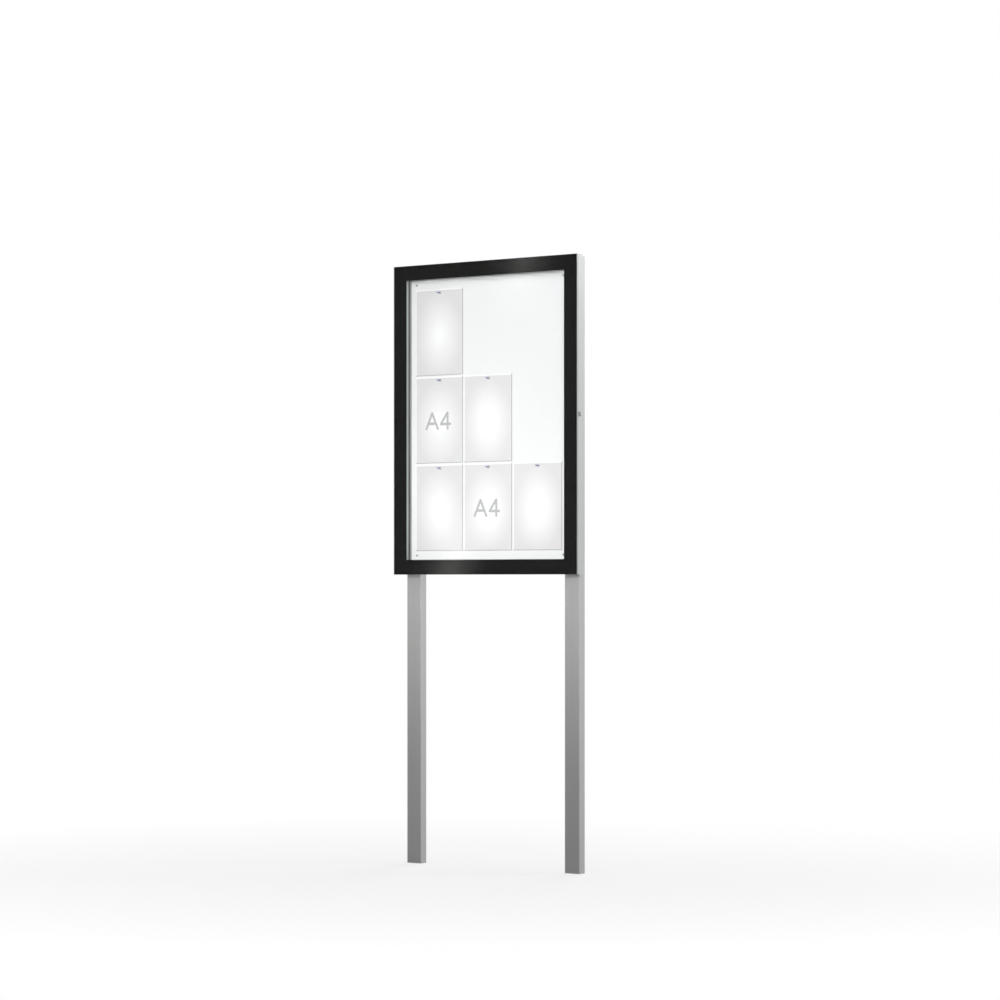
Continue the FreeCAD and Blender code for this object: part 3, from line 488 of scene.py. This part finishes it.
def screw(build, seat, out, head, high, shank, run):
    """A cross-recess screw: its domed head on the out side of its seat, its shank on the other."""
    rim, stem, lead = head / 2, shank / 2, shank * LEAD_SHARE
    ring = turn(build, seat, out, [
        (-run, 0), (-run, stem - lead), (-run + lead, stem), (0, stem),
        *[(high * far, rim * share) for far, share in DOME],
    ], sides=SCREW_SIDES)
    wide, reach = head * ARM_WIDE, head * ARM_REACH
    arms = [
        (wide, reach), (wide, wide), (reach, wide), (reach, -wide), (wide, -wide), (wide, -reach),
        (-wide, -reach), (-wide, -wide), (-reach, -wide), (-reach, wide), (-wide, wide),
        (-wide, reach),
    ]
    up = Vector((0.0, 0.0, 1.0))
    across = out.cross(up)
    crosswise = [across * x + up * z for x, z in arms]
    mouth = [build.verts.new(seat + out * high + way) for way in crosswise]
    recess = seat + out * high * RECESS_FLOOR
    deep = [build.verts.new(recess + way * RECESS_TAPER) for way in crosswise]
    rims = [build.edges.get((ring[i - 1], ring[i])) for i in range(SCREW_SIDES)]
    rims += [build.edges.new((mouth[i - 1], mouth[i])) for i in range(len(arms))]
    bmesh.ops.triangle_fill(build, use_beauty=True, use_dissolve=False, edges=rims)
    for i in range(len(arms)):
        build.faces.new((mouth[i - 1], mouth[i], deep[i], deep[i - 1]))
    build.faces.new(deep)


def screws(name, node, body, out, head, head_high, shank):
    """The screws of one CAD node, each in its own place with its head on the out side."""
    build = bmesh.new()
    for low, high in solids(node):
        half = abs((high - low).dot(out)) / 2
        seat = (low + high) / 2 + out * (half - head_high)
        screw(build, seat, out, head, head_high, shank, 2 * half - head_high)
    piece(name, build, body, plated, "zinc_steel", node)


PANEL_HEAD = 0.0076
PANEL_HEAD_HIGH = 0.0022
PANEL_SHANK = 0.004
SPACER_EDGE = 0.0002
SPACER_PLAY = 0.0002
screws("panel_cross_screws", "panel_screws", "board", FORWARD, PANEL_HEAD, PANEL_HEAD_HIGH, PANEL_SHANK)
nuts("panel_hexagon_nuts", "panel_nuts", PANEL_SHANK / 2)

build = bmesh.new()
for low, high in solids("panel_spacers"):
    seat = Vector(((low.x + high.x) / 2, low.y, (low.z + high.z) / 2))
    rim, thick, bore = (high.z - low.z) / 2, high.y - low.y, PANEL_SHANK / 2 + SPACER_PLAY
    turn(build, seat, REARWARD, [
        (0, bore), (0, rim - SPACER_EDGE), (SPACER_EDGE, rim), (thick - SPACER_EDGE, rim),
        (thick, rim - SPACER_EDGE), (thick, bore),
    ], closed=True)
piece("panel_spacer_rings", build, "board", plated, "zinc_steel", "panel_spacers")


# Two stainless butt hinges stand on the left, one leaf screwed in the case and one to the door
# frame, with a turned pin through their knuckles. The sheet is brushed along its length.
hinge_steel = Finish("hinge_brushed_steel", Metallic=1.0)
brushed = hinge_steel.grain(hinge_steel.stretched(1500, 1500, 25), 1.0, 2.0)
hinge_steel.set(
    Base_Color=hinge_steel.blend(brushed, shade("#9b9c9c"), shade("#b5b6b5")),
    Roughness=0.26 + brushed * 0.14,
    Normal=hinge_steel.height(brushed, 0.2, 0.00003),
)
hinge_steel.wear(
    "lower_hinge_case_leaf", "lower_hinge_door_leaf", "lower_hinge_pin",
    "upper_hinge_case_leaf", "upper_hinge_door_leaf", "upper_hinge_pin",
)

SMALL_HEAD = 0.0055
SMALL_HEAD_HIGH = 0.0016
SMALL_SHANK = 0.003
SMALL_SIZES = (SMALL_HEAD, SMALL_HEAD_HIGH, SMALL_SHANK)
screws("hinge_screws_in_case", "hinge_case_screws", "board", FORWARD, *SMALL_SIZES)
screws("hinge_screws_in_door", "hinge_door_screws", "door", REARWARD, *SMALL_SIZES)


# A cam lock goes through the right wall of the case. Its housing is turned brass, nickel plated,
# with a rounded rim and a dished head painted dark inside as painted shade, and a nut draws it to the
# wall.
nickel = Finish("lock_nickel_plate", Metallic=0.75)
plate_cloud = nickel.grain(nickel.place(), 700.0, 2.0)
plate_tone = nickel.blend(plate_cloud, shade("#8c8d8d"), shade("#9fa0a0"))
(plug_low, plug_high), = solids("lock_plug")
# Inside the dish of the head the nickel is painted dark, as painted shade.
SHADED_DISH_RADIUS = 0.0074
SHADED_DISH_DEEP = 0.0009
across_lock = nickel.node(
    "ShaderNodeVectorMath", {"operation": "DISTANCE"}, out=1,
    i0=nickel.stretched(0, 1, 1), i1=(0.0, *((plug_low + plug_high) / 2).yz),
)
in_head = nickel.axes()[0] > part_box("lock_housing")[1].x - SHADED_DISH_DEEP
painted_shade_dish = in_head * (across_lock < SHADED_DISH_RADIUS)
nickel.set(
    Base_Color=nickel.blend(painted_shade_dish, plate_tone, shade("#3c3d3d")),
    Roughness=0.30 + plate_cloud * 0.12,
    Normal=nickel.height(plate_cloud, 0.1, 0.00002),
)
nickel.wear("lock_nut", "lock_cam")

RIGHTWARD = Vector((1.0, 0.0, 0.0))
HOUSING_BORE = 0.00455
BARREL_RADIUS = 0.007
BARREL_LEAD = 0.0005
BORE_LEAD = 0.0004
HEAD_EDGE = 0.0002
DISH_DEEP = 0.0008
ROUNDED_RIM = ((0.0008, 0.0), (0.0003, 0.0002), (0.0, 0.0008), (0.0001, 0.0016), (0.0007, 0.0026))
(housing_low, housing_high), = solids("lock_housing")
head_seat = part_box("case_right")[1].x - housing_low.x
head_face = housing_high.x - housing_low.x
head_rim = (housing_high.z - housing_low.z) / 2
middle = (housing_low + housing_high) / 2
build = bmesh.new()
turn(build, Vector((housing_low.x, middle.y, middle.z)), RIGHTWARD, [
    (0, HOUSING_BORE), (0, BARREL_RADIUS - BARREL_LEAD), (BARREL_LEAD, BARREL_RADIUS),
    (head_seat, BARREL_RADIUS), (head_seat, head_rim - HEAD_EDGE), (head_seat + HEAD_EDGE, head_rim),
    *[(head_face - back, head_rim - inward) for back, inward in ROUNDED_RIM],
    (head_face - DISH_DEEP, HOUSING_BORE + BORE_LEAD),
    (head_face - DISH_DEEP - BORE_LEAD, HOUSING_BORE),
], sides=64, closed=True)
piece("lock_barrel_and_head", build, "board", nickel, "lock_chrome", "lock_housing")


# The plug turns in the housing. The flat of its face is a little darker, and its key slot is
# painted dark inside as painted shade.
darker_plug = Finish("lock_plug_face", Metallic=1.0)
plug_cloud = darker_plug.grain(darker_plug.place(), 900.0, 2.0)
FACE_DEEP = 0.0003
# Behind its face the plug is painted dark, as painted shade in the key slot.
painted_shade_slot = darker_plug.axes()[0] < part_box("lock_plug")[1].x - FACE_DEEP
plug_tone = darker_plug.blend(plug_cloud, shade("#7c7d7d"), shade("#949595"))
darker_plug.set(
    Base_Color=darker_plug.blend(painted_shade_slot, plug_tone, shade("#2a2a2a")),
    Roughness=0.24 + plug_cloud * 0.16,
    Normal=darker_plug.height(plug_cloud, 0.15, 0.00002),
)
darker_plug.wear("lock_plug")


# A cross-recess screw holds the cam on the plug's tail, and two more hold the catch, a folded
# steel plate, behind the door frame.
CAM_HEAD = 0.007
CAM_HEAD_HIGH = 0.002
screws("cam_cross_screw", "cam_screw", "lock", -RIGHTWARD, CAM_HEAD, CAM_HEAD_HIGH, SMALL_SHANK)
screws("catch_cross_screws", "catch_screws", "door", REARWARD, *SMALL_SIZES)
plated.wear("lock_catch")


# Six A4 sheets of matt office paper hang in three columns. A grey tint is printed on them that
# fades to white in the middle and leaves a narrow margin on the left and at the top. Each lies
# flat, and the shade of its right and lower edges on the panel is given as a grey line.
paper = Finish("notice_office_paper", IOR=1.45)
sheet_low, sheet_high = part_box("notice_left_bottom")
next_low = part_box("notice_centre_bottom")[0]
above_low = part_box("notice_left_middle")[0]
COLUMN_PITCH = next_low.x - sheet_low.x
ROW_PITCH = above_low.z - sheet_low.z
SHEET_WIDE = sheet_high.x - sheet_low.x
SHEET_TALL = sheet_high.z - sheet_low.z
paper_x, _, paper_z = paper.axes()
sheet_x = (paper_x - sheet_low.x) % COLUMN_PITCH
sheet_z = (paper_z - sheet_low.z) % ROW_PITCH
WHITEST = 0.47
TINT_SLOPE = 1.02
TINT_START = 0.02
from_middle_x = (sheet_x - SHEET_WIDE / 2) * (2.0 / SHEET_WIDE)
from_middle_z = (sheet_z - SHEET_TALL * WHITEST) * (2.0 / SHEET_TALL)
distance = (from_middle_x * from_middle_x + from_middle_z * from_middle_z) ** 0.5
tint = paper.node("ShaderNodeClamp", Value=distance * TINT_SLOPE - TINT_START)
fibre = paper.grain(paper.place(), 900.0, 4.0)
FIBRE_SHARE = 0.06
LEFT_MARGIN = 0.0025
TOP_MARGIN = 0.0040
in_print = (sheet_x > LEFT_MARGIN) * (sheet_z < SHEET_TALL - TOP_MARGIN)
mottled = tint + fibre * FIBRE_SHARE - FIBRE_SHARE / 2
tinted = paper.node("ShaderNodeClamp", Value=mottled * in_print)
printed = paper.blend(tinted, shade("#f7f7f7"), shade("#dad9d9"))
RIGHT_LINE = 0.0026
LOWER_LINE = 0.0020
shaded_edge = (sheet_x > SHEET_WIDE - RIGHT_LINE) | (sheet_z < LOWER_LINE)
paper.set(
    Base_Color=paper.blend(shaded_edge, printed, shade("#989999")),
    Roughness=0.72 + fibre * 0.1,
    Normal=paper.height(fibre, 0.2, 0.00004),
)
paper.wear(
    "notice_left_top", "notice_left_middle", "notice_left_bottom",
    "notice_centre_middle", "notice_centre_bottom", "notice_right_bottom",
)


# Two of the sheets carry the plain mark of their paper size, printed in light grey ink in
# round-ended strokes, each laid over the one before.
ink = Finish("size_mark_grey_ink", IOR=1.45)
ink_grain = ink.grain(ink.place(), 1200.0, 3.0)
ink.set(
    Base_Color=ink.blend(ink_grain, shade("#abacac"), shade("#b6b7b7")),
    Roughness=0.6 + ink_grain * 0.12,
)
INK_LAYER = 0.00001
STROKE_WIDE = 0.0090
ROUND_STEPS = 8
MARK_STROKES = (
    ((0.0470, 0.1185), (0.0725, 0.1720)), ((0.0725, 0.1720), (0.0980, 0.1185)),
    ((0.0560, 0.1365), (0.0890, 0.1365)), ((0.1405, 0.1720), (0.1120, 0.1340)),
    ((0.1120, 0.1340), (0.1530, 0.1340)), ((0.1415, 0.1720), (0.1415, 0.1185)),
)


def stroke(build, start, end, wide, front, thick):
    """A flat round-ended stroke on an upright face, from one (x, z) point to another."""
    start, end = Vector((start[0], front, start[1])), Vector((end[0], front, end[1]))
    along = (end - start).normalized()
    aside = along.cross(FORWARD)
    rim = []
    for foot, way in ((end, along), (start, -along)):
        turned_aside = aside if foot is end else -aside
        for step in range(ROUND_STEPS + 1):
            angle = math.pi * step / ROUND_STEPS
            rim.append(foot + (turned_aside * math.cos(angle) + way * math.sin(angle)) * wide / 2)
    upper = [build.verts.new(point) for point in rim]
    lower = [build.verts.new(point + REARWARD * thick) for point in rim]
    build.faces.new(upper)
    for i in range(len(rim)):
        build.faces.new((upper[i - 1], upper[i], lower[i], lower[i - 1]))


MARKED = {"size_mark_left": "notice_left_middle", "size_mark_centre": "notice_centre_bottom"}
for mark_name, sheet in MARKED.items():
    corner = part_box(sheet)[0]
    build = bmesh.new()
    for layer, ends in enumerate(MARK_STROKES, 1):
        start, end = [(corner.x + x, corner.z + z) for x, z in ends]
        stroke(build, start, end, STROKE_WIDE, corner.y - layer * INK_LAYER, layer * INK_LAYER)
    piece(mark_name, build, "board", ink, "paper")


# Each sheet is held by a small magnet: a plated steel disc with a turned plastic handle that
# stands out towards the reader.
disc_metal = Finish("magnet_plated_disc", Metallic=0.3)
disc_grain = disc_metal.grain(disc_metal.place(), 800.0, 2.0)
disc_metal.set(
    Base_Color=disc_metal.blend(disc_grain, shade("#b3b8b5"), shade("#c6cac7")),
    Roughness=0.3 + disc_grain * 0.1,
)
DISC_ROUND = 0.0004
DISC_LIP = 0.00064
DISC_BEVEL = 0.0002
build = bmesh.new()
for low, high in solids("magnet_discs"):
    foot = Vector(((low.x + high.x) / 2, high.y, (low.z + high.z) / 2))
    rim, thick = (high.z - low.z) / 2, high.y - low.y
    turn(build, foot, FORWARD, [
        (0, 0), (0, rim - DISC_ROUND), (DISC_ROUND, rim), (thick - DISC_LIP, rim),
        (thick - DISC_BEVEL, rim - DISC_BEVEL), (thick, rim - DISC_LIP), (thick, 0),
    ], sides=48)
piece("magnet_disc_set", build, "board", disc_metal, "magnet_metal", "magnet_discs")

grip_plastic = Finish("magnet_grip_plastic", IOR=1.46)
grip_grain = grip_plastic.grain(grip_plastic.place(), 500.0, 2.0)
grip_plastic.set(
    Base_Color=grip_plastic.blend(grip_grain, shade("#8f94c0"), shade("#9ca1ca")),
    Roughness=0.3 + grip_grain * 0.1,
)
GRIP_SHAPE = (
    (0.0, 0.90), (0.03, 1.0), (0.10, 0.98), (0.20, 0.82), (0.34, 0.74), (0.50, 0.73), (0.62, 0.77),
    (0.74, 0.90), (0.84, 0.99), (0.90, 1.0), (0.95, 0.94), (0.985, 0.80), (1.0, 0.58),
)
build = bmesh.new()
for low, high in solids("magnet_grips"):
    foot = Vector(((low.x + high.x) / 2, high.y, (low.z + high.z) / 2))
    rim, run = (high.z - low.z) / 2, high.y - low.y
    shape = [(far * run, out * rim) for far, out in GRIP_SHAPE]
    turn(build, foot, FORWARD, [(0, 0), *shape, (run, 0)], sides=40)
piece("magnet_grip_set", build, "board", grip_plastic, "grip_plastic", "magnet_grips")


# The board stands on a plain white studio floor that runs into a white backdrop. Three soft lamps
# light the front at their own heights, a large one stands far off at the right rear and one behind
# on the left, and two smaller ones lift the upper right corner.
FLOOR_REACH = 30.0
floor_mesh = bpy.data.meshes.new("studio_floor")
build = bmesh.new()
bmesh.ops.create_grid(build, x_segments=2, y_segments=2, size=FLOOR_REACH)
build.to_mesh(floor_mesh)
build.free()
floor = bpy.data.objects.new("studio_floor", floor_mesh)
bpy.context.scene.collection.objects.link(floor)

SHADOW_REACH = 2.6
SHADOW_SHARE = 0.34
LIT_GREY = (0.42, 0.42, 0.42, 1.0)
SEEN_GREY = (0.93, 0.93, 0.93, 1.0)
floor_white = Finish("studio_floor_white", Roughness=0.9)
looked_at = floor_white.rays("Camera", "Glossy", "Transmission")
floor_white.set(Base_Color=floor_white.blend(looked_at, LIT_GREY, SEEN_GREY))
away = floor_white.node("ShaderNodeVectorMath", {"operation": "LENGTH"}, out=1, i0=floor_white.place())
near = floor_white.node("ShaderNodeClamp", Value=1.0 - away * (1.0 / SHADOW_REACH))
plain = looked_at * (1.0 - near * SHADOW_SHARE)
floor_glow = floor_white.node("ShaderNodeEmission")
floor_white.show(floor_white.node("ShaderNodeMixShader", Fac=plain, i1=floor_white.body(), i2=floor_glow))
floor_mesh.materials.append(floor_white.material)

ROOM_LIGHT = 0.32
BACKDROP_LIGHT = 1.0
WHITE = (1.0, 1.0, 1.0, 1.0)
world = bpy.data.worlds.new("studio_room")
bpy.context.scene.world = world
world.use_nodes = True
sky = Nodes(world.node_tree)
room = sky.tree.nodes["Background"]
feed(room.inputs["Color"], WHITE)
feed(room.inputs["Strength"], ROOM_LIGHT)
backdrop = sky.node("ShaderNodeBackground", Color=WHITE, Strength=BACKDROP_LIGHT)
looking = sky.rays("Camera", "Glossy", "Transmission")
surround = sky.node("ShaderNodeMixShader", Fac=looking, i1=Signal(sky.tree, room.outputs[0]), i2=backdrop)
feed(sky.tree.nodes["World Output"].inputs["Surface"], surround)


def lamp(name, place, aim, wide, tall, power, spread):
    """A soft rectangular studio lamp, turned to face a point."""
    light = bpy.data.lights.new(name, "AREA")
    light.shape = "RECTANGLE"
    light.size = wide
    light.size_y = tall
    light.energy = power
    light.spread = math.radians(spread)
    made = bpy.data.objects.new(name, light)
    bpy.context.scene.collection.objects.link(made)
    made.location = place
    made.rotation_euler = (Vector(aim) - Vector(place)).to_track_quat("-Z", "Y").to_euler()


lamp(
    "front_soft_lamp", (0.9, -4.4, 1.9), (0.0, 0.0, 1.32),
    wide=1.3, tall=1.1, power=3.9, spread=44.0,
)
lamp(
    "high_soft_lamp", (0.4, -4.4, 2.6), (0.0, 0.0, 1.7),
    wide=1.3, tall=1.1, power=5.1, spread=36.0,
)
lamp(
    "low_soft_lamp", (0.2, -3.2, 0.75), (0.0, 0.0, 1.02),
    wide=1.6, tall=0.3, power=0.95, spread=24.0,
)
lamp(
    "side_soft_lamp", (7.5, 4.5, 1.1), (0.0, 0.0, 1.0),
    wide=3.0, tall=2.1, power=285.0, spread=180.0,
)
lamp(
    "corner_side_lamp", (2.0, 1.7, 3.0), (0.4, 0.0, 2.1),
    wide=0.9, tall=0.9, power=11.0, spread=80.0,
)
lamp(
    "corner_front_lamp", (1.8, -1.6, 3.1), (0.4, 0.0, 2.3),
    wide=0.9, tall=0.9, power=4.6, spread=80.0,
)
lamp(
    "rear_soft_lamp", (-1.6, 4.8, 2.6), (0.0, 0.0, 1.2),
    wide=2.4, tall=2.4, power=105.0, spread=180.0,
)


# A strip on the left glows though it is no lamp, as painted light. It is brightest along its middle
# and towards its two ends, and it is seen only as the slanted streaks that it draws on the glass.
STREAK_LOW = Vector((-4.227, -5.0, 1.058))
STREAK_HIGH = Vector((-3.757, -5.0, 2.618))
STREAK_WIDE = 0.22
STREAK_HALF_TALL = 1.6
STREAK_LIGHT = 6.6
STREAK_AIM = Vector((0.0, -0.06, 1.5))
along = (STREAK_HIGH - STREAK_LOW).normalized()
middle = (STREAK_HIGH + STREAK_LOW) / 2
facing = (STREAK_AIM - middle).normalized()
across = along.cross(facing).normalized()
outward = across.cross(along).normalized()
strip_mesh = bpy.data.meshes.new("streak_glow_strip")
build = bmesh.new()
corners = (
    (-STREAK_WIDE, -STREAK_HALF_TALL), (STREAK_WIDE, -STREAK_HALF_TALL),
    (STREAK_WIDE, STREAK_HALF_TALL), (-STREAK_WIDE, STREAK_HALF_TALL),
)
build.faces.new([build.verts.new((x, y, 0.0)) for x, y in corners])
build.to_mesh(strip_mesh)
build.free()
strip = bpy.data.objects.new("streak_glow_strip", strip_mesh)
strip.matrix_world = Matrix.Translation(middle) @ Matrix((across, along, outward)).transposed().to_4x4()
bpy.context.scene.collection.objects.link(strip)
strip.visible_camera = False
strip.visible_diffuse = False
strip.visible_shadow = False
glow_card = Finish("streak_glow_card")
DARK_MIDDLE = 0.05
END_SLOPE = 2.6
END_START = 1.1
BLACK = (0.0, 0.0, 0.0, 1.0)
WARM_WHITE = (1.0, 0.98, 0.95, 1.0)
sideways, lengthways, _ = glow_card.axes()
ends = glow_card.node("ShaderNodeClamp", Value=abs(lengthways - DARK_MIDDLE) * END_SLOPE - END_START)
ramp = (1.0 - abs(sideways) * (1.0 / STREAK_WIDE)) * ends
# The glow is painted light, warm white along the middle and towards the ends of the strip.
lit = glow_card.blend(ramp * ramp, BLACK, WARM_WHITE)
glow = glow_card.node("ShaderNodeEmission", Color=lit, Strength=STREAK_LIGHT)
bare = glow_card.node("ShaderNodeBsdfTransparent")
glow_card.show(glow_card.node("ShaderNodeAddShader", i0=glow, i1=bare))
strip_mesh.materials.append(glow_card.material)

bpy.context.scene.view_settings.view_transform = "Standard"


# The camera stands well off to the right, about level with the lower edge of the case. It looks
# level, so upright lines stay upright, and its picture is shifted up to take the board in.
EYE = (7.38478, -9.14300, 0.97848)
TURNED = 38.834
FOCAL_PIXELS = 3448.36
HORIZON = 580.82
PICTURE = 1000.0
SENSOR = 36.0
FARTHEST = 100.0
view = bpy.data.cameras.new("studio_camera")
view.sensor_width = SENSOR
view.lens = FOCAL_PIXELS * SENSOR / PICTURE
view.shift_y = (HORIZON - PICTURE / 2) / PICTURE
view.clip_end = FARTHEST
camera = bpy.data.objects.new("studio_camera", view)
camera.location = EYE
camera.rotation_euler = (math.radians(90.0), 0.0, math.radians(TURNED))
bpy.context.scene.collection.objects.link(camera)
bpy.context.scene.camera = camera
